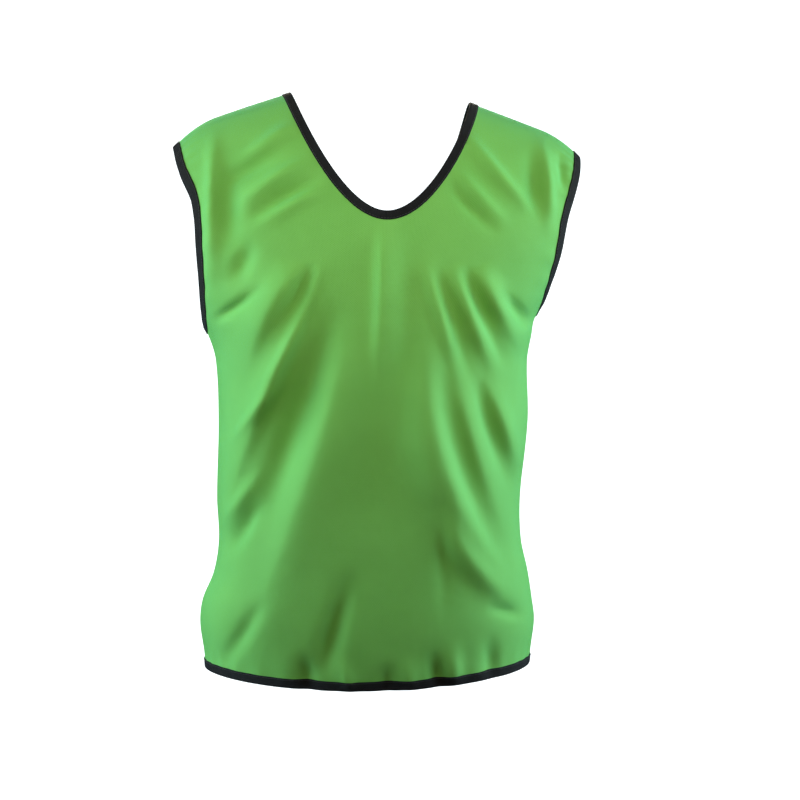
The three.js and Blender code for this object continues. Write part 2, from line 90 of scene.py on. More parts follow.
# Puckers that the binding's sewing draws into the cloth, in millimetres; a wobble says how many radians their
# wave wanders and over what length, and an arc is how much cloth there is to a radian there
PUCKER_HEIGHT = 0.4
PUCKER_INSET = 12
ARMHOLE_PUCKER = 24
ARMHOLE_WOBBLE = (1.6, 33)
ARMHOLE_ARC = 130
ARMHOLE_FOOT_FADE = (2, 25)
ARMHOLE_TOP_FADE = (4, 30)
HEM_PUCKER = 26
HEM_WOBBLE = (1.9, 37)
HEM_ARC = 165
PUCKER_SIDE_FADE = 0.15

# The visible cloth's thickness in millimetres, then its quads from the middle to a side, from the hem to the
# neck, from the neck to the shoulder and under the binding
CLOTH = 0.7
COLUMNS = 84
LOWER_ROWS = 130
UPPER_ROWS = 104
BAND_ROWS = 3
# Points that an edge is measured with
EDGE_SAMPLES = 1201
# Steps to a radian and to a millimetre; two places on the same steps are one
PLACE_STEPS = (1e5, 1e3)
# How far a panel reaches to the side, and how many times that its half width is when laid flat
MEAN_REACH = 185
REACH_TO_WIDTH = 1.32

# Folds fade out near the side seams and the shoulder seams; a power below 1 makes their own ends fuller
SIDE_FADE = 0.4
SHOULDER_FADE = 0.3
FOLD_TAPER = 0.75
# Folds seen from the front: soft ridges (depth above 0) and troughs (below 0) between two points, bowed
# sideways; lean makes one flank narrower and the other wider, peak is where along it the depth is full.
# Columns: x and z of the upper end, x and z of the lower end, bow, width, depth, lean, peak
FOLDS = {
    "front": [
        (32, -190, 56, -650, 0, 46, 9, 0, 0.45),
        (-34, -270, -64, -660, 0, 44, 7, 0, 0.4),
        (1, -152, -7, -360, 0, 17, 8, -0.6, 0.35),
        (24, -160, 22, -430, 2, 16, -4, 0, 0.4),
        (-90, -203, -156, -340, -10, 16, 11, 0.3, 0.35),
        (-76, -203, -132, -340, 4, 12, -12, 0, 0.35),
        (-68, -204, -188, -500, 0, 14, 12, 0.35, 0.35),
        (-66, -198, -150, -400, 0, 7, 5, 0, 0.35),
        (-46, -226, -156, -545, 1, 17, -13, 0, 0.45),
        (-33, -280, -158, -660, 6, 24, 9, -0.3, 0.4),
        (-100, -322, -174, -412, 0, 7, 4, 0, 0.5),
        (-133, -430, -184, -508, 0, 7, 4, 0, 0.5),
        (-124, -220, -194, -268, 2, 7, -6, 0, 0.6),
        (-142, -172, -170, -230, 0, 11, -6, 0, 0.5),
        (46, -198, 90, -345, 0, 10, 7, -0.2, 0.35),
        (58, -203, 106, -345, 0, 8, -5, 0, 0.35),
        (76, -203, 138, -340, -3, 11, 9, -0.2, 0.35),
        (92, -203, 154, -330, -4, 8, -6, 0, 0.35),
        (106, -206, 170, -306, -3, 12, 9, -0.3, 0.35),
        (128, -226, 178, -272, 0, 8, -6, 0, 0.6),
        (42, -285, 170, -600, -34, 26, 17, 0.15, 0.45),
        (62, -305, 162, -566, -23, 11, -4, 0, 0.5),
        (80, -310, 158, -530, -10, 14, 9, -0.2, 0.4),
        (106, -325, 164, -475, -6, 9, -4, 0, 0.4),
        (118, -322, 168, -450, -2, 12, 8, -0.3, 0.5),
        (-188, -44, -192, -260, 0, 9, 7, 0, 0.4),
        (-176, -55, -170, -195, 0, 14, -7, 0, 0.6),
        (-90, -38, -166, -96, -2, 10, 7, 0, 0.4),
        (-98, -64, -184, -114, -2, 10, -7, 0, 0.6),
        (-74, -80, -174, -146, -3, 10, 8, 0, 0.4),
        (-66, -104, -160, -160, -3, 8, -5, 0, 0.4),
        (-60, -114, -150, -166, -2, 9, 5, 0, 0.4),
        (99, -48, 188, -148, -6, 9, 7, 0, 0.4),
        (84, -90, 152, -160, -4, 9, 5, 0, 0.4),
        (76, -104, 140, -172, -4, 8, -4, 0, 0.4),
        (192, -42, 197, -170, 0, 9, 7, 0, 0.5),
        (178, -60, 182, -155, 0, 12, -6, 0, 0.5),
        (213, -62, 217, -120, 0, 6, -4, 0, 0.5),
        (-27, -530, -68, -672, -3, 12, -9, 0, 0.6),
        (62, -410, 72, -620, 0, 9, -3, 0, 0.5),
        (56, -471, 168, -596, -15, 12, 7, 0, 0.5),
        (118, -590, 176, -608, 0, 7, -4, 0, 0.5),
        (-136, -462, -176, -538, 0, 9, -7, 0, 0.5),
        (-126, -570, -186, -668, 0, 9, -5, 0, 0.5),
        (-91, -626, -80, -688, 0, 10, -8, 0, 0.65),
        (-46, -640, -34, -690, 0, 8, 5, 0, 0.6),
        (2, -644, 7, -690, 0, 10, -4.5, 0, 0.6),
        (28, -640, 36, -690, 0, 9, 4, 0, 0.6),
        (52, -630, 70, -690, 0, 10, -6, 0, 0.6),
        (78, -620, 84, -686, 0, 10, 4, 0, 0.6),
        (124, -615, 130, -682, 0, 10, -4.5, 0, 0.6),
    ],
    "back": [
        (0, -160, 4, -380, 3, 18, -5, 0, 0.5),
        (-70, -190, -176, -430, 6, 13, 10, 0.3, 0.35),
        (-52, -210, -150, -470, 8, 14, -10, 0, 0.4),
        (-36, -260, -140, -600, 12, 22, 10, -0.3, 0.4),
        (-96, -205, -166, -300, -6, 10, -7, 0, 0.5),
        (-110, -330, -176, -420, 2, 8, 5, 0, 0.5),
        (66, -195, 168, -420, -6, 13, 10, -0.3, 0.35),
        (48, -215, 150, -480, -10, 14, -10, 0, 0.4),
        (34, -270, 148, -610, -16, 20, 10, 0.3, 0.4),
        (98, -210, 170, -300, 4, 10, -7, 0, 0.5),
        (108, -340, 172, -450, -4, 8, 5, 0, 0.5),
        (-20, -420, -50, -676, 6, 18, -7, 0, 0.5),
        (30, -450, 58, -676, -6, 18, 7, 0, 0.5),
        (-84, -560, -110, -680, 0, 12, -6, 0, 0.6),
        (104, -570, 120, -680, 0, 12, -6, 0, 0.6),
        (-100, -50, -186, -130, 3, 11, 7, 0, 0.4),
        (-90, -90, -180, -170, 3, 11, -6, 0, 0.5),
        (102, -52, 190, -136, -3, 11, 7, 0, 0.4),
        (88, -94, 178, -172, -3, 11, -6, 0, 0.5),
        (-70, -634, -62, -688, 0, 9, -5, 0, 0.6),
        (-18, -640, -10, -690, 0, 8, 4, 0, 0.6),
        (40, -636, 36, -690, 0, 9, -5, 0, 0.6),
        (84, -640, 80, -688, 0, 8, 4, 0, 0.6),
    ],
}


def smoothstep(value, low, high):
    t = np.clip((value - low) / (high - low), 0, 1)
    return t * t * (3 - 2 * t)


def uneven_wave(run, length, wobble):
    """A wave along a run, whose spacing wanders."""
    swing, stretch = wobble
    return np.sin(run / length * 2 * math.pi + swing * np.sin(run / stretch))


def run_lengths(points):
    """How far along a line of points each one is."""
    return np.concatenate([[0], np.cumsum(np.linalg.norm(np.diff(points, axis=0), axis=1))])


def outline(column, height):
    """A column of the outline at any height, by a smooth curve through its rows."""
    heights = OUTLINE[:, 0]
    values = OUTLINE[:, OUTLINE_COLUMNS.index(column)]
    last = len(heights) - 1
    below = np.maximum(np.arange(last + 1) - 1, 0)
    above = np.minimum(np.arange(last + 1) + 1, last)
    slopes = (values[above] - values[below]) / (heights[above] - heights[below])
    index = np.clip(np.searchsorted(heights, height, side="left") - 1, 0, last - 1)
    span = heights[index + 1] - heights[index]
    t = (height - heights[index]) / span
    return ((2 * t**3 - 3 * t**2 + 1) * values[index] + (t**3 - 2 * t**2 + t) * span * slopes[index]
            + (3 * t**2 - 2 * t**3) * values[index + 1] + (t**3 - t**2) * span * slopes[index + 1])


def ridge_height(x):
    """Height of the shoulder seam above a place across."""
    across = x - NECK_MIDDLE
    run = np.hypot(across, SHOULDER_SOFTNESS) - math.hypot(NECK_HALF_WIDTH, SHOULDER_SOFTNESS)
    rounded = np.maximum(np.abs(across) - SHOULDER_ROUND_FROM, 0) ** 2 / (2 * SHOULDER_ROUND_RADIUS)
    tilt = SHOULDER_TILT * np.tanh(across / NECK_HALF_WIDTH)
    return NECK_POINT_HEIGHT - SHOULDER_SLOPE * run - rounded - tilt


def arch_turn(level):
    """How far the cloth has turned over towards the shoulder seam, from nothing to a quarter."""
    return np.maximum(level, 0) / ARCH_LENGTH * QUARTER


def outline_height(level):
    """The height in the outline's rows that a level stands for."""
    return np.where(level < 0, SPRING + level, SPRING + (SHOULDER_END - SPRING) * np.sin(arch_turn(level)))


def side_reach(to_left, middle, height):
    """How far the form reaches from its middle to the left or right side."""
    return np.where(to_left, outline("left", height) + middle, outline("right", height) - middle)


def form(face, angle, level):
    """The smooth worn form at an angle round the body and a level up the cloth."""
    height = outline_height(level)
    turn = arch_turn(level)
    middle = outline("middle", height)
    x = middle + side_reach(angle < 0, middle, height) * np.sin(angle)
    full = np.cos(angle) * (1 + FULLNESS * np.sin(angle) ** 2)
    depth = -outline("front", height) if face == "front" else outline("back", height)
    z = np.where(level < 0, height, SPRING + (ridge_height(x) - SPRING) * np.sin(turn))
    return np.stack([x, depth * full * np.cos(turn), z], axis=-1)


def form_slopes(face, angle, level):
    """The form's slopes across and up, and the way straight out of it."""
    step = 1e-4
    reach = step * ARCH_LENGTH
    across = (form(face, angle + step, level) - form(face, angle - step, level)) / (2 * step)
    up = (form(face, angle, level + reach) - form(face, angle, level - reach)) / (2 * reach)
    normal = np.cross(across, up) * (1 if face == "front" else -1)
    return across, up, normal / np.linalg.norm(normal, axis=-1, keepdims=True)


def relief(face, angle, level):
    """How far the folds and puckers lift the cloth off the smooth form."""
    point = form(face, angle, level)
    lift = np.zeros(point.shape[:-1])
    for from_x, from_z, to_x, to_z, bow, width, depth, lean, peak in FOLDS[face]:
        along_x, along_z = to_x - from_x, to_z - from_z
        length = math.hypot(along_x, along_z)
        t = ((point[..., 0] - from_x) * along_x + (point[..., 2] - from_z) * along_z) / length**2
        aside = ((point[..., 0] - from_x) * -along_z + (point[..., 2] - from_z) * along_x) / length
        aside = aside - bow * 4 * t * (1 - t)
        flank = width * (1 - lean * np.sign(aside))
        shift = math.log(0.5) / math.log(peak)
        taper = np.sin(math.pi * np.clip(t, 0, 1) ** shift) ** 2
        lift = lift + depth * taper ** FOLD_TAPER * np.exp(-((aside / flank) ** 2))
    side_fade = smoothstep(np.cos(angle), 0, SIDE_FADE)
    return lift * side_fade * smoothstep(np.cos(arch_turn(level)), 0, SHOULDER_FADE) + puckers(angle, level)


def armhole_level(bottom):
    """The level of an armhole's foot, from its height."""
    return math.asin((bottom - SPRING) / (SHOULDER_END - SPRING)) / QUARTER * ARCH_LENGTH


def armhole_swing(rise):
    """How far an armhole's edge has swung in from the side seam, this far above its foot."""
    return ARMHOLE_SWING * np.sqrt(1 - (1 - np.clip(rise / ARMHOLE_ROUNDING, 0, 1)) ** 2)


def pucker_fade(distance):
    """None at the edge, which the binding holds straight, and full one inset in from it."""
    share = distance / PUCKER_INSET
    return share * np.exp((1 - share**2) / 2)


def puckers(angle, level):
    """Small uneven ripples beside the armholes' and the hem's binding."""
    lift = np.zeros(np.shape(angle))
    for sign, bottom in ARMHOLE.values():
        rise = level - armhole_level(bottom)
        inward = (QUARTER - armhole_swing(rise) - sign * angle) * ARMHOLE_ARC
        wave = uneven_wave(rise, ARMHOLE_PUCKER, ARMHOLE_WOBBLE)
        ends = smoothstep(rise, *ARMHOLE_FOOT_FADE) * smoothstep(ARCH_LENGTH - level, *ARMHOLE_TOP_FADE)
        lift = lift + wave * ends * pucker_fade(inward)
    wave = uneven_wave(angle * HEM_ARC, HEM_PUCKER, HEM_WOBBLE)
    side_fade = smoothstep(np.cos(angle), 0, PUCKER_SIDE_FADE)
    lift = lift + wave * side_fade * pucker_fade(level - hem_level(angle))
    return lift * PUCKER_HEIGHT


def cloth_point(face, places, lift=0.0):
    """Points on the folded cloth, a distance off its outer face."""
    angle, level = places[..., 0], places[..., 1]
    normal = form_slopes(face, angle, level)[2]
    point = form(face, angle, level) + normal * (relief(face, angle, level) + lift)[..., None]
    point[..., 1] += (-SEAM_GAP if face == "front" else SEAM_GAP) / 2
    return point, normal


def locate(x, z):
    """The place on the cloth of a point seen from the front."""
    turn = np.where(z < SPRING, 0, np.arcsin(np.clip((z - SPRING) / (ridge_height(x) - SPRING), 0, 1)))
    level = np.where(z < SPRING, z - SPRING, turn / QUARTER * ARCH_LENGTH)
    height = outline_height(level)
    middle = outline("middle", height)
    return np.stack([np.arcsin((x - middle) / side_reach(x < middle, middle, height)), level], axis=-1)


def neck_edge(face, sign, t):
    """Places along the neck's edge, from the middle up to the shoulder seam."""
    depth, bottom_handle, top_across, top_height = NECK[face]
    t = t * (2 - t)
    weights = [(1 - t) ** 3, 3 * (1 - t) ** 2 * t, 3 * (1 - t) * t**2, t**3]
    across = weights[1] * bottom_handle + weights[2] * top_across + weights[3] * NECK_HALF_WIDTH
    seen = (weights[0] + weights[1]) * depth + weights[2] * top_height
    end = ridge_height(np.array(NECK_MIDDLE + sign * NECK_HALF_WIDTH))
    places = locate(NECK_MIDDLE + sign * across, end + (depth - end) * seen / depth)
    places[-1, 1] = ARCH_LENGTH
    return places


def armhole_edge(side, t):
    """Places along an armhole's edge, from its foot up to the shoulder seam."""
    sign, bottom = ARMHOLE[side]
    bottom_level = armhole_level(bottom)
    rise = (ARCH_LENGTH - bottom_level) * t * t
    return np.stack([sign * (QUARTER - armhole_swing(rise)), bottom_level + rise], axis=-1)


def hem_level(angle):
    """The hem's level, lowest in the middle and a little uneven."""
    across = np.sin(angle)
    return HEM_MIDDLE + HEM_RISE * across * across + HEM_TILT * across - SPRING


def spread(face, edge, count):
    """Places along an edge at equal steps of its real length."""
    places = edge(np.linspace(0, 1, EDGE_SAMPLES))
    lengths = run_lengths(form(face, places[:, 0], places[:, 1]))
    wanted = np.linspace(0, lengths[-1], count + 1)
    return np.stack([np.interp(wanted, lengths, places[:, k]) for k in range(2)], axis=-1)


def below(face, place, distance):
    """The place straight below another one, a distance down the cloth."""
    up = form_slopes(face, place[0], place[1])[1]
    return np.array([place[0], place[1] - distance / np.linalg.norm(up)])


def inset(face, places, towards, first):
    """The places one binding width in from an edge, square to it."""
    before = places[np.maximum(np.arange(len(places)) - 1, 0)]
    after = places[np.minimum(np.arange(len(places)) + 1, len(places) - 1)]
    along = form(face, after[:, 0], after[:, 1]) - form(face, before[:, 0], before[:, 1])
    across, up, normal = form_slopes(face, places[:, 0], places[:, 1])
    inward = np.cross(normal, along)
    inward /= np.linalg.norm(inward, axis=1, keepdims=True)
    inward *= np.where((inward @ np.array(towards)) < 0, -1, 1)[:, None] * BINDING_WIDTH
    across_square, mixed, up_square = (across * across).sum(1), (across * up).sum(1), (up * up).sum(1)
    by_across, by_up = (inward * across).sum(1), (inward * up).sum(1)
    square = across_square * up_square - mixed * mixed
    angle_step = (by_across * up_square - by_up * mixed) / square
    level_step = (by_up * across_square - by_across * mixed) / square
    moved = places + np.stack([angle_step, level_step], axis=-1)
    moved[0] = below(face, first, BINDING_WIDTH)
    moved[-1, 1] = ARCH_LENGTH
    return moved


def row_places(start, end, t):
    """A row from the neck or the middle out to the armhole or the side seam, easing level as it turns."""
    from_angle, to_angle = start[..., 0, None], end[..., 0, None]
    angle = from_angle + (to_angle - from_angle) * t
    turns = (angle, from_angle, to_angle)
    turned, begun, done = (1 - (1 - np.abs(turn) / QUARTER) ** 2 for turn in turns)
    from_level, to_level = start[..., 1, None], end[..., 1, None]
    level = from_level + (to_level - from_level) * (turned - begun) / (done - begun)
    return np.stack([angle, level], axis=-1)


def panel_places(face):
    """The patches that make up a panel, as grids of places, and its cut edges with their inner lines."""
    patches, edges, inner, outer = [], {}, {}, {}
    t = np.linspace(0, 1, COLUMNS + 1)
    band = np.linspace(0, 1, BAND_ROWS + 1)[:, None, None]
    for side, (sign, _) in ARMHOLE.items():
        neck = spread(face, lambda s: neck_edge(face, sign, s), UPPER_ROWS)
        neck[0, 0] = 0
        arm = spread(face, lambda s: armhole_edge(side, s), UPPER_ROWS)
        inner[side] = inset(face, neck, (sign, 0, -1), neck[0])
        outer[side] = inset(face, arm, (-2 * sign, 0, -1), arm[0])
        edges[side + "_neck"] = (neck, inner[side])
        edges[side + "_arm"] = (arm, outer[side])
        patches.append(neck + (inner[side] - neck) * band)
        patches.append(arm + (outer[side] - arm) * band)
        patches.append(row_places(inner[side], outer[side], t))
    left = row_places(inner["left"][0], outer["left"][0], t)[::-1]
    right = row_places(inner["right"][0], outer["right"][0], t)
    top = np.concatenate([left, right[1:]])
    hem = np.stack([top[:, 0], hem_level(top[:, 0])], axis=-1)
    far = hem + np.array([0, BINDING_WIDTH])
    edges["hem"] = (hem, far)
    patches.append(hem + (far - hem) * band)
    patches.append(far + (top - far) * np.linspace(0, 1, LOWER_ROWS + 1)[:, None, None])
    return patches, edges


def join_patches(patches):
    """One list of places with no two alike, and the quads between them."""
    places = np.concatenate([patch.reshape(-1, 2) for patch in patches])
    keys = np.round(places * PLACE_STEPS).astype(np.int64)
    _, first, index = np.unique(keys, axis=0, return_index=True, return_inverse=True)
    index = index.reshape(-1)
    quads, start = [], 0
    for patch in patches:
        rows, columns = patch.shape[:2]
        grid = index[start:start + rows * columns].reshape(rows, columns)
        start += rows * columns
        corners = [grid[:-1, :-1], grid[:-1, 1:], grid[1:, 1:], grid[1:, :-1]]
        quads.append(np.stack(corners, axis=-1).reshape(-1, 4))
    return places[first], np.concatenate(quads)


def add_mesh(name, vertices, faces, material, uv=None):
    """A mesh object from millimetres; uv gives each vertex's place on the flat cloth, in metres."""
    mesh = bpy.data.meshes.new(name)
    mesh.from_pydata((np.asarray(vertices) * MM).tolist(), [], [list(map(int, face)) for face in faces])
    mesh.materials.append(material)
    if uv is not None:
        layer = mesh.uv_layers.new(name="flat")
        loops = np.empty(len(mesh.loops), dtype=np.int32)
        mesh.loops.foreach_get("vertex_index", loops)
        layer.data.foreach_set("uv", np.asarray(uv)[loops].astype(np.float32).ravel())
    mesh.shade_smooth()
    mesh.validate()
    piece = bpy.data.objects.new(name, mesh)
    bpy.context.collection.objects.link(piece)
    return piece


def flat_places(places):
    """Rough places on the flat cut piece, in metres, for the knit to follow."""
    half_width = REACH_TO_WIDTH * MEAN_REACH * MM
    return np.stack([places[:, 0] / QUARTER * half_width, places[:, 1] * MM], axis=-1)


def build_panel(face, material):
    """A panel of cloth as a closed shell: its outer side, its inner side and the rims along its cut edges."""
    patches, edges = panel_places(face)
    places, quads = join_patches(patches)
    points, normals = cloth_point(face, places)
    corner = points[quads]
    facing = np.cross(corner[:, 2] - corner[:, 0], corner[:, 3] - corner[:, 1])
    flip = (facing * normals[quads].sum(1)).sum(1) < 0
    quads[flip] = quads[flip][:, ::-1]
    count = len(points)
    edge_set = {(int(a), int(b)) for quad in quads for a, b in zip(quad, np.roll(quad, -1))}
    rim = [(b, a, a + count, b + count) for a, b in edge_set if (b, a) not in edge_set]
    faces = np.concatenate([quads, quads[:, ::-1] + count, np.array(rim)])
    vertices = np.concatenate([points, points - normals * CLOTH])
    uv = flat_places(places)
    panel = add_mesh(face + "_cloth", vertices, faces, material, np.concatenate([uv, uv]))
    return panel, edges


# Materials

# The knit and the tape's weave: wavelengths and depths in metres, colours linear, noises as scale and detail
EYELET_ACROSS = 0.0020
EYELET_ALONG = 0.0017
EYELET_EDGE = (0.45, 0.95)
WALE = 0.0005
COURSE = 0.00068
KNIT_SHARE = 0.18
KNIT_DEPTH = 0.00018
CREASE_NOISE = (22, 3)
CREASE_DEPTH = 0.0012
FUZZ_NOISE = (420, 2)
FUZZ_SHARE = 0.35
FUZZ_TONE = (0.20, 0.50, 0.14)
CLOTH_TONES = ((0.150, 0.430, 0.065), (0.185, 0.500, 0.090))
# The eyelets are painted darker: painted shade for the dark inside seen through the holes
EYELET_SHADE_SHARE = 0.45
EYELET_SHADE_TONE = (0.035, 0.16, 0.022)
CLOTH_ROUGHNESS = (0.5, 0.72)
CLOTH_FINISH = {
    "Specular IOR Level": 0.25,
    "Specular Tint": (0.1, 1.0, 1.0, 1),
    "Sheen Weight": 0.3,
    "Sheen Roughness": 0.4,
    "Sheen Tint": (0.05, 0.85, 0.8, 1),
}
TWILL = 0.0009
YARN = 0.0006
YARN_SHARE = 0.5
WEAVE_DEPTH = 0.00012
TAPE_NOISE = (60, 3)
TAPE_DEPTH = 0.0008
TAPE_TONES = ((0.003, 0.003, 0.004), (0.009, 0.009, 0.011))
# The twill ribs' tops are painted paler: a painted highlight where they catch the light
RIB_HIGHLIGHT_SHARE = 0.2
RIB_HIGHLIGHT_TONE = (0.028, 0.028, 0.032)
TAPE_FINISH = {"Roughness": 0.7, "Specular IOR Level": 0.14, "Sheen Weight": 0.03, "Sheen Roughness": 0.5}
TWIST_NOISE = (1500, 2)
TWIST_DEPTH = 0.0001
THREAD_FINISH = {"Roughness": 0.5}
DARK_THREAD = ((0.012, 0.012, 0.014), (0.045, 0.045, 0.05))
GREEN_THREAD = ((0.13, 0.40, 0.07), (0.22, 0.56, 0.14))


def new_material(name):
    material = bpy.data.materials.new(name)
    material.use_nodes = True
    nodes = material.node_tree.nodes
    return material, nodes, material.node_tree.links, nodes["Principled BSDF"]


def finish(node, values):
    """Sets a node's plain inputs."""
    for socket, value in values.items():
        node.inputs[socket].default_value = value


def object_place(nodes):
    """Where in space a point is, in metres."""
    return nodes.new("ShaderNodeTexCoord").outputs["Object"]


def flat_place(nodes, links):
    """How far across and along the flat cut piece, in metres."""
    place = nodes.new("ShaderNodeUVMap")
    place.uv_map = "flat"
    split = nodes.new("ShaderNodeSeparateXYZ")
    links.new(place.outputs["UV"], split.inputs[0])
    return split.outputs["X"], split.outputs["Y"]


def math_node(nodes, links, operation, first, second=None):
    node = nodes.new("ShaderNodeMath")
    node.operation = operation
    for socket, value in zip(node.inputs, (first, second)):
        if hasattr(value, "is_linked"):
            links.new(value, socket)
        elif value is not None:
            socket.default_value = value
    return node.outputs[0]


def wave_node(nodes, links, kind, value, length):
    """A sine or cosine of a value in metres, with this wavelength."""
    return math_node(nodes, links, kind, math_node(nodes, links, "MULTIPLY", value, 2 * math.pi / length))


def noise_node(nodes, links, vector, scale, detail):
    node = nodes.new("ShaderNodeTexNoise")
    links.new(vector, node.inputs["Vector"])
    node.inputs["Scale"].default_value = scale
    node.inputs["Detail"].default_value = detail
    return node.outputs["Fac"]


def bump_node(nodes, links, height, distance, previous=None):
    node = nodes.new("ShaderNodeBump")
    node.inputs["Strength"].default_value = 1.0
    node.inputs["Distance"].default_value = distance
    links.new(height, node.inputs["Height"])
    if previous is not None:
        links.new(previous, node.inputs["Normal"])
    return node.outputs["Normal"]


def ramp_node(nodes, links, value, start, end):
    """A soft step from 0 where the value is at its start to 1 at its end."""
    node = nodes.new("ShaderNodeMapRange")
    node.interpolation_type = "SMOOTHSTEP"
    links.new(value, node.inputs["Value"])
    node.inputs["From Min"].default_value = start
    node.inputs["From Max"].default_value = end
    return node.outputs["Result"]


def colour_mix(nodes, links, factor, low, high):
    node = nodes.new("ShaderNodeMix")
    node.data_type = "RGBA"
    links.new(factor, node.inputs["Factor"])
    for socket, value in ((node.inputs["A"], low), (node.inputs["B"], high)):
        if hasattr(value, "is_linked"):
            links.new(value, socket)
        else:
            socket.default_value = (*value, 1)
    return node.outputs["Result"]


def mesh_cloth_material():
    """Fine knitted polyester mesh: staggered eyelets 1.3 mm apart between thin wales, painted darker inside
    the eyelets as painted shade, with a satin sheen.
    """
    material, nodes, links, shader = new_material("mesh_cloth")
    across, along = flat_place(nodes, links)
    wave_x = wave_node(nodes, links, "COSINE", across, EYELET_ACROSS)
    wave_y = wave_node(nodes, links, "COSINE", along, EYELET_ALONG)
    hole = ramp_node(nodes, links, math_node(nodes, links, "MULTIPLY", wave_x, wave_y), *EYELET_EDGE)
    wales = wave_node(nodes, links, "SINE", across, WALE)
    courses = wave_node(nodes, links, "SINE", along, COURSE)
    knit = math_node(nodes, links, "MULTIPLY", math_node(nodes, links, "ADD", wales, courses), KNIT_SHARE)
    surface = math_node(nodes, links, "SUBTRACT", knit, hole)
    solid_place = object_place(nodes)
    soft = noise_node(nodes, links, solid_place, *CREASE_NOISE)
    fine = noise_node(nodes, links, solid_place, *FUZZ_NOISE)
    tone = colour_mix(nodes, links, soft, *CLOTH_TONES)
    tone = colour_mix(nodes, links, math_node(nodes, links, "MULTIPLY", fine, FUZZ_SHARE), tone, FUZZ_TONE)
    # Painted shade: the base colour is darkened in the eyelets, where the inside's shade would show through
    shade = math_node(nodes, links, "MULTIPLY", hole, EYELET_SHADE_SHARE)
    tone = colour_mix(nodes, links, shade, tone, EYELET_SHADE_TONE)
    links.new(tone, shader.inputs["Base Color"])
    normal = bump_node(nodes, links, soft, CREASE_DEPTH)
    normal = bump_node(nodes, links, surface, KNIT_DEPTH, normal)
    links.new(normal, shader.inputs["Normal"])
    rough = nodes.new("ShaderNodeMapRange")
    links.new(fine, rough.inputs["Value"])
    rough.inputs["To Min"].default_value = CLOTH_ROUGHNESS[0]
    rough.inputs["To Max"].default_value = CLOTH_ROUGHNESS[1]
    links.new(rough.outputs["Result"], shader.inputs["Roughness"])
    finish(shader, CLOTH_FINISH)
    return material


def binding_material():
    """Dark twill tape: fine slanted ribs, painted paler along their tops as a painted highlight, and yarns
    across them.
    """
    material, nodes, links, shader = new_material("binding_tape")
    across, along = flat_place(nodes, links)
    twill = wave_node(nodes, links, "SINE", math_node(nodes, links, "ADD", across, along), TWILL)
    yarn = wave_node(nodes, links, "SINE", across, YARN)
    weave = math_node(nodes, links, "ADD", twill, math_node(nodes, links, "MULTIPLY", yarn, YARN_SHARE))
    soft = noise_node(nodes, links, object_place(nodes), *TAPE_NOISE)
    tone = colour_mix(nodes, links, soft, *TAPE_TONES)
    # Painted highlight: the base colour is made paler along the ribs' raised tops
    tops = math_node(nodes, links, "MAXIMUM", twill, 0.0)
    tone = colour_mix(nodes, links, math_node(nodes, links, "MULTIPLY", tops, RIB_HIGHLIGHT_SHARE), tone, RIB_HIGHLIGHT_TONE)
    links.new(tone, shader.inputs["Base Color"])
    normal = bump_node(nodes, links, soft, TAPE_DEPTH)
    normal = bump_node(nodes, links, weave, WEAVE_DEPTH, normal)
    links.new(normal, shader.inputs["Normal"])
    finish(shader, TAPE_FINISH)
    return material


def thread_material(name, dark, light):
    """Twisted sewing thread between two tones."""
    material, nodes, links, shader = new_material(name)
    twist = noise_node(nodes, links, object_place(nodes), *TWIST_NOISE)
    links.new(colour_mix(nodes, links, twist, dark, light), shader.inputs["Base Color"])
    links.new(bump_node(nodes, links, twist, TWIST_DEPTH), shader.inputs["Normal"])
    finish(shader, THREAD_FINISH)
    return material


# Binding

# The folded tape's outer line from its inner edge to the cut edge: share of the way, height in millimetres
TAPE_LEG = [(0.0, 0.55), (0.02, 0.95), (0.1, 1.2), (0.3, 1.3), (0.6, 1.35), (0.85, 1.35), (1.0, 1.25)]
# The fold beyond the cut edge: distance out, height
TAPE_FOLD = [(0.65, 0.85), (0.95, 0.0), (0.65, -0.85)]
TAPE_THICKNESS = 0.5
# The least height of the tape's lines over the cloth's middle, and their least distance beyond the cut edge
LEG_CLEAR = 0.38
FOLD_CLEAR = 0.1
# The fold points straight away from a place this share of the way in
FOLD_AIM = 0.1
# The corner of each section whose line gives a tape's or a seam's length
LENGTH_CORNER = 3
RIPPLE_LENGTH = 23
RIPPLE_WOBBLE = (1.7, 61)
RIPPLE_HEIGHT = 0.07
# The edges round each opening, in order: face, edge, whether it is gone along backwards
OPENINGS = {
    "neck": [("front", "left_neck", True), ("front", "right_neck", False),
             ("back", "right_neck", True), ("back", "left_neck", False)],
    "left_armhole": [("front", "left_arm", False), ("back", "left_arm", True)],
    "right_armhole": [("front", "right_arm", False), ("back", "right_arm", True)],
    "hem": [("front", "hem", False), ("back", "hem", True)],
}


def tape_stations(face, edge, far):
    """Section rings of the tape along one panel's edge: the outer line, then the inner one back."""
    middle = -CLOTH / 2
    tip, normal_at = cloth_point(face, edge, middle)
    near = cloth_point(face, edge + (far - edge) * FOLD_AIM, middle)[0]
    outward = tip - near
    outward /= np.linalg.norm(outward, axis=1, keepdims=True)
    wave = uneven_wave(run_lengths(tip), RIPPLE_LENGTH, RIPPLE_WOBBLE)
    ripple = (1 + RIPPLE_HEIGHT * wave)[:, None]

    def leg(sign, depth):
        line = []
        for share, height in TAPE_LEG:
            point, normal = cloth_point(face, far + (edge - far) * share, middle)
            line.append(point + normal * sign * np.maximum(height * ripple - depth, LEG_CLEAR))
        return line

    def fold(depth):
        return [tip + outward * max(out - depth, FOLD_CLEAR) + normal_at * height * (1 - depth)
                for out, height in TAPE_FOLD]

    outer = leg(1, 0) + fold(0) + leg(-1, 0)[::-1]
    inner = leg(1, TAPE_THICKNESS) + fold(TAPE_THICKNESS) + leg(-1, TAPE_THICKNESS)[::-1]
    return np.stack(outer + inner[::-1], axis=1)


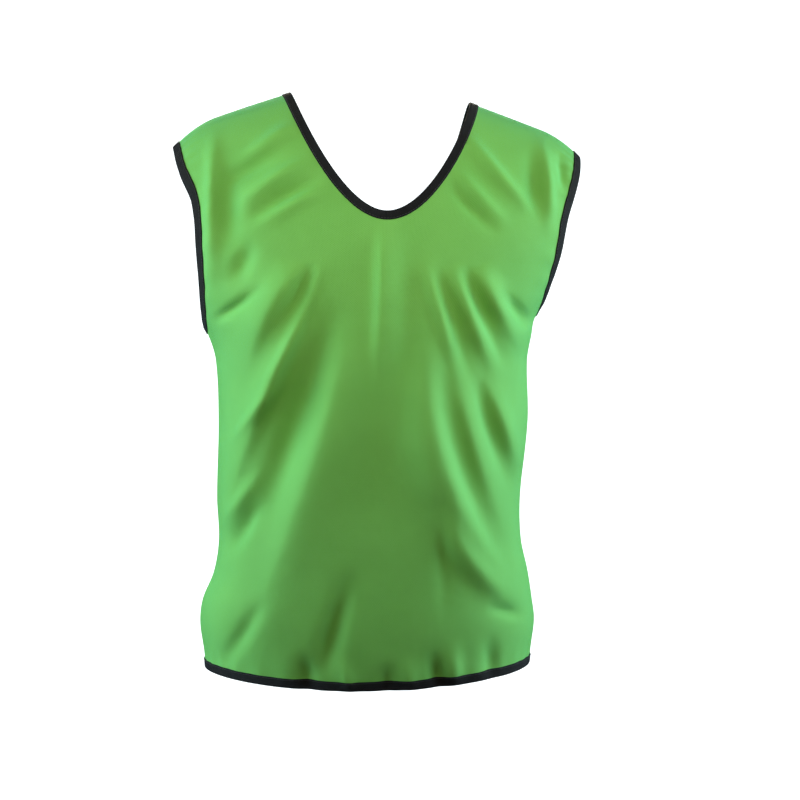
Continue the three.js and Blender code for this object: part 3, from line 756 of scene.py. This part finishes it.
def signed_volume(vertices, faces):
    """Six times the volume inside some faces, above 0 where they face out."""
    total = 0
    for face in faces:
        ring = vertices[list(face)]
        total += (ring[0] * np.cross(ring[1:-1], ring[2:])).sum()
    return total


def strip(sections, closed):
    """Vertices, faces and flat places of a run of section rings, closed as a loop or capped at its ends."""
    stations, corners = sections.shape[:2]
    index = np.arange(stations * corners).reshape(stations, corners)
    after = np.roll(index, -1, axis=0)
    faces = np.stack([index, np.roll(index, -1, axis=1), np.roll(after, -1, axis=1), after], axis=-1)
    faces = (faces if closed else faces[:-1]).reshape(-1, 4).tolist()
    if not closed:
        faces += [index[0, ::-1].tolist(), index[-1].tolist()]
    vertices = sections.reshape(-1, 3)
    if signed_volume(vertices, faces) < 0:
        faces = [face[::-1] for face in faces]
    run = run_lengths(sections[:, LENGTH_CORNER])
    uv = np.stack(np.meshgrid(run, run_lengths(sections[0]), indexing="ij"), axis=-1).reshape(-1, 2) * MM
    return vertices, faces, uv


def edge_run(edges, parts):
    """A closed run of (face, edge places, inner places) round an opening; a part may run backwards."""
    run = []
    for face, key, backwards in parts:
        edge, far = edges[face][key]
        if backwards:
            edge, far = edge[::-1], far[::-1]
        run.append((face, edge, far))
    return run


def binding(name, run, material):
    """The folded tape all round an opening."""
    vertices, faces, uv = strip(np.concatenate([tape_stations(*part) for part in run]), True)
    return add_mesh(name, vertices, faces, material, uv)


# Stitches

# In millimetres: a stitch's length, the step from one to the next and the thread's radius
STITCH = 2.6
STITCH_STEP = 3.5
THREAD = 0.22
THREAD_SIDES = 6
# How far the row lies from the tape's inner edge, as a share of the way out, and over the cloth's middle
STITCH_SHARE = 0.16
STITCH_HEIGHT = 1.5
# Points along a stitch, as shares of its length, and how far the thread stands off the tape there
STITCH_STOPS = np.array([-0.5, -0.3, 0, 0.3, 0.5])
STITCH_LIFTS = np.array([-0.35, 0.05, 0.12, 0.05, -0.35])


def add_thread(vertices, faces, spine, lift):
    """One short thread along some points, with the way off the cloth at each."""
    along = spine[-1] - spine[0]
    along /= np.linalg.norm(along)
    base, last = len(vertices), (len(spine) - 1) * THREAD_SIDES
    for centre, up in zip(spine, lift):
        aside = np.cross(along, up)
        for k in range(THREAD_SIDES):
            turn = k * 2 * math.pi / THREAD_SIDES
            vertices.append(centre + THREAD * (math.cos(turn) * aside + math.sin(turn) * up))
    for ring in range(len(spine) - 1):
        for k in range(THREAD_SIDES):
            here = base + ring * THREAD_SIDES + k
            there = base + ring * THREAD_SIDES + (k + 1) % THREAD_SIDES
            faces.append((here, there, there + THREAD_SIDES, here + THREAD_SIDES))
    faces.append(tuple(base + k for k in range(THREAD_SIDES - 1, -1, -1)))
    faces.append(tuple(base + last + k for k in range(THREAD_SIDES)))


def stitch_rows(name, run, material):
    """Rows of short threads along both sides of a binding."""
    vertices, faces = [], []
    for face, edge, far in run:
        for sign in (1, -1):
            point, normal = cloth_point(face, far + (edge - far) * STITCH_SHARE, -CLOTH / 2)
            point = point + normal * STITCH_HEIGHT * sign
            lengths = run_lengths(point)
            count = int(lengths[-1] // STITCH_STEP)
            middles = (np.arange(count) + 0.5) * lengths[-1] / count
            for middle in middles:
                stops = middle + STITCH_STOPS * STITCH
                spine = np.stack([np.interp(stops, lengths, point[:, k]) for k in range(3)], axis=-1)
                lift = np.stack([np.interp(stops, lengths, normal[:, k]) for k in range(3)], axis=-1) * sign
                spine = spine + lift * STITCH_LIFTS[:, None]
                add_thread(vertices, faces, spine, lift)
    return add_mesh(name, vertices, faces, material)


# Seams inside

# The allowances lie on the back panel's inner side, neatened with a thread that goes to and fro over them.
# In millimetres: the lines along an allowance, as face and distance from the seam, its lift and its thickness
SEAM_STATIONS = 90
SEAM_LINES = (("front", 1.6), ("front", 0.3), ("back", 0.3), ("back", 2), ("back", 4), ("back", 6))
SEAM_CLEARANCE = 0.03
SEAM_THICKNESS = 0.4
SEAM_UNDER_BINDING = 4
NEATENING_STEP = 2.6
NEATENING = np.linspace(0.9, 6.1, 5)


def seam_runs():
    """Each seam's places from end to end, a little under the binding, and which way is in from it."""
    t = np.linspace(0, 1, SEAM_STATIONS)
    tuck = BINDING_WIDTH - SEAM_UNDER_BINDING
    runs = []
    for sign, bottom in ARMHOLE.values():
        low, high = hem_level(sign * QUARTER) + tuck, armhole_level(bottom) - tuck
        side = np.stack([np.full(SEAM_STATIONS, sign * QUARTER), low + (high - low) * t], axis=-1)
        runs.append((side, (-sign, 0)))
        neck = neck_edge("front", sign, np.array([0.0, 1.0]))[-1, 0]
        reach = np.linalg.norm(form_slopes("front", np.array([neck]), np.array([ARCH_LENGTH]))[0])
        near = neck + sign * tuck / reach
        far = sign * (QUARTER - ARMHOLE_SWING) - sign * tuck / reach
        shoulder = np.stack([near + (far - near) * t, np.full(SEAM_STATIONS, ARCH_LENGTH)], axis=-1)
        runs.append((shoulder, (0, -1)))
    return runs


def beside(face, places, way, distance):
    """Places at a distance from a seam, the way given."""
    across, up, _ = form_slopes(face, places[:, 0], places[:, 1])
    slope = across * way[0] + up * way[1]
    return places + np.array(way) * (distance / np.linalg.norm(slope, axis=1))[:, None]


def seam_strip(places, way):
    """The allowance along one seam, from just off the cloth's inner side to its own thickness inside."""
    def line(lift):
        return [cloth_point(face, beside(face, places, way, distance), lift)[0]
                for face, distance in SEAM_LINES]

    return strip(np.stack(line(-CLOTH - SEAM_CLEARANCE) + line(-CLOTH - SEAM_THICKNESS)[::-1], axis=1), False)


def build_seams(cloth, thread):
    """The allowances of the side and shoulder seams in one piece, and their neatening threads in another."""
    vertices, faces, uvs, thread_vertices, thread_faces = [], [], [], [], []
    for places, way in seam_runs():
        strip_vertices, strip_faces, uv = seam_strip(places, way)
        faces += [[corner + len(vertices) for corner in face] for face in strip_faces]
        vertices += strip_vertices.tolist()
        uvs.append(uv)
        count = int(run_lengths(cloth_point("back", places)[0])[-1] // NEATENING_STEP)
        share = np.linspace(0, 1, len(places))
        for k in range(2 * count):
            wanted = np.linspace(k, k + 1, len(NEATENING)) / (2 * count)
            spot = np.stack([np.interp(wanted, share, places[:, axis]) for axis in range(2)], axis=-1)
            distances = NEATENING if k % 2 else NEATENING[::-1]
            lift = -CLOTH - SEAM_THICKNESS - THREAD / 2
            spine, normal = cloth_point("back", beside("back", spot, way, distances), lift)
            add_thread(thread_vertices, thread_faces, spine, -normal)
    seams = add_mesh("inner_seams", vertices, faces, cloth, np.concatenate(uvs))
    return seams, add_mesh("seam_threads", thread_vertices, thread_faces, thread)


# Scene

# The photo's view, in metres and radians: its width at the target, then how far off, how high and how far
# round from the front the camera is
VIEW_TARGET = (0.0296, 0.0, -0.357)
VIEW_WIDTH = 0.946
VIEW_DISTANCE = 2.2
VIEW_HEIGHT = -0.3
VIEW_TURN = math.radians(-5)

# The sweep's floor, its wall, the round between them, its front end, top and half width, in millimetres
FLOOR_HEIGHT = -1150
WALL_DEPTH = 2300
SWEEP_RADIUS = 900
SWEEP_STEPS = 12
SWEEP_FRONT = -4500
SWEEP_TOP = 3200
SWEEP_HALF_WIDTH = 4500
SWEEP_FINISH = {"Base Color": (0.74, 0.74, 0.74, 1), "Roughness": 0.9, "Emission Color": (1, 1, 1, 1)}

# How much the sweep glows. That rises to 1 behind the bib, between these two distances back and between these
# two aside from the glow's middle, in metres
FLOOR_GLOW = 0.5
GLOW_BEHIND = (0.9, 1.3)
GLOW_ASIDE = (2.4, 1.2)
GLOW_MIDDLE = 0.2

# Soft boxes: place, target, width, height, power in watts, colour, spread where it is narrower than usual
COOL = (0.68, 0.92, 1.0)
WARM = (1.0, 0.88, 0.66)
BIB_MIDDLE = (0, 0, -0.35)
NARROW = math.radians(70)
SOFT_BOXES = {
    "left_box": ((-1.8, -0.1, -0.1), BIB_MIDDLE, 1.2, 1.6, 54, COOL, None),
    "right_box": ((1.8, -0.1, -0.1), BIB_MIDDLE, 1.2, 1.6, 56, COOL, None),
    "front_box": ((0.0, -1.25, 0.42), (0, -0.1, -0.12), 0.9, 0.5, 2.9, WARM, NARROW),
    "back_box": ((0.0, 1.25, 0.42), (0, 0.1, -0.12), 0.9, 0.5, 2.9, WARM, NARROW),
}
WORLD_STRENGTH = 0.8


def look_at(thing, place, target):
    """Turn a camera or light at a place towards a target, both in metres."""
    back = np.array(place, dtype=float) - np.array(target, dtype=float)
    back /= np.linalg.norm(back)
    side = np.cross((0, 0, 1), back)
    side /= np.linalg.norm(side)
    up = np.cross(back, side)
    rows = [(*row, place[k]) for k, row in enumerate(np.stack([side, up, back], axis=1).tolist())]
    thing.matrix_world = Matrix([*rows, (0, 0, 0, 1)])


def add_camera():
    """The photo's view, from a little to the viewer's left."""
    across = VIEW_TARGET[0] + VIEW_DISTANCE * math.sin(VIEW_TURN)
    place = (across, -VIEW_DISTANCE * math.cos(VIEW_TURN), VIEW_HEIGHT)
    data = bpy.data.cameras.new("camera")
    camera = bpy.data.objects.new("camera", data)
    bpy.context.collection.objects.link(camera)
    look_at(camera, place, VIEW_TARGET)
    data.lens = data.sensor_width * math.dist(place, VIEW_TARGET) / VIEW_WIDTH
    bpy.context.scene.camera = camera


def add_soft_box(name, place, target, width, height, power, colour, spread):
    """A rectangular light that faces its target."""
    data = bpy.data.lights.new(name, "AREA")
    data.shape = "RECTANGLE"
    data.size, data.size_y = width, height
    data.energy = power
    data.color = colour
    if spread is not None:
        data.spread = spread
    light = bpy.data.objects.new(name, data)
    bpy.context.collection.objects.link(light)
    look_at(light, place, target)


def sweep_material():
    """Pale and matt, glowing a little all over and fully behind the bib, where the photo is white."""
    material, nodes, links, shader = new_material("pale_sweep")
    finish(shader, SWEEP_FINISH)
    split = nodes.new("ShaderNodeSeparateXYZ")
    links.new(object_place(nodes), split.inputs[0])
    aside = math_node(nodes, links, "SUBTRACT", split.outputs["X"], GLOW_MIDDLE)
    near = ramp_node(nodes, links, math_node(nodes, links, "ABSOLUTE", aside), *GLOW_ASIDE)
    far = ramp_node(nodes, links, split.outputs["Y"], *GLOW_BEHIND)
    glow = math_node(nodes, links, "MULTIPLY", far, near)
    glow = math_node(nodes, links, "MULTIPLY", glow, 1 - FLOOR_GLOW)
    glow = math_node(nodes, links, "ADD", glow, FLOOR_GLOW)
    links.new(glow, shader.inputs["Emission Strength"])
    return material


def add_sweep():
    """A pale sweep for floor and backdrop, which is seen but lights nothing."""
    profile = [(SWEEP_FRONT, FLOOR_HEIGHT)]
    for step in range(SWEEP_STEPS + 1):
        turn = step / SWEEP_STEPS * QUARTER
        depth = WALL_DEPTH - SWEEP_RADIUS + SWEEP_RADIUS * math.sin(turn)
        profile.append((depth, FLOOR_HEIGHT + SWEEP_RADIUS - SWEEP_RADIUS * math.cos(turn)))
    profile.append((WALL_DEPTH, SWEEP_TOP))
    vertices = [(side * SWEEP_HALF_WIDTH, y, z) for y, z in profile for side in (-1, 1)]
    faces = [(2 * k, 2 * k + 1, 2 * k + 3, 2 * k + 2) for k in range(len(profile) - 1)]
    sweep = add_mesh("pale_sweep", vertices, faces, sweep_material())
    sweep.visible_diffuse = False
    sweep.visible_glossy = False


def add_world():
    """A white world, which is seen but lights nothing."""
    world = bpy.data.worlds.new("world")
    bpy.context.scene.world = world
    world.use_nodes = True
    finish(world.node_tree.nodes["Background"], {"Color": (1, 1, 1, 1), "Strength": WORLD_STRENGTH})
    world.cycles_visibility.diffuse = False
    world.cycles_visibility.glossy = False
    world.cycles_visibility.transmission = False


def dress():
    """The cloth, seams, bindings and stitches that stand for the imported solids."""
    cloth, tape = mesh_cloth_material(), binding_material()
    thread = thread_material("dark_thread", *DARK_THREAD)
    green_thread = thread_material("green_thread", *GREEN_THREAD)
    edges, panels = {}, {}
    for face in ("front", "back"):
        panels[face], edges[face] = build_panel(face, cloth)
        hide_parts(face + "_panel")
        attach(panels[face], "root")
    for piece in build_seams(cloth, green_thread):
        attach(piece, "root")
    # The folded tape and its stitch rows round each opening
    for name, parts in OPENINGS.items():
        run = edge_run(edges, parts)
        band = binding(name + "_tape", run, tape)
        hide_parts(name + "_binding")
        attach(band, "root")
        row = stitch_rows(name + "_stitches", run, thread)
        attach(row, "root")


add_camera()
add_sweep()
for box_name, box in SOFT_BOXES.items():
    add_soft_box(box_name, *box)
add_world()
bpy.context.scene.view_settings.view_transform = "Standard"
dress()
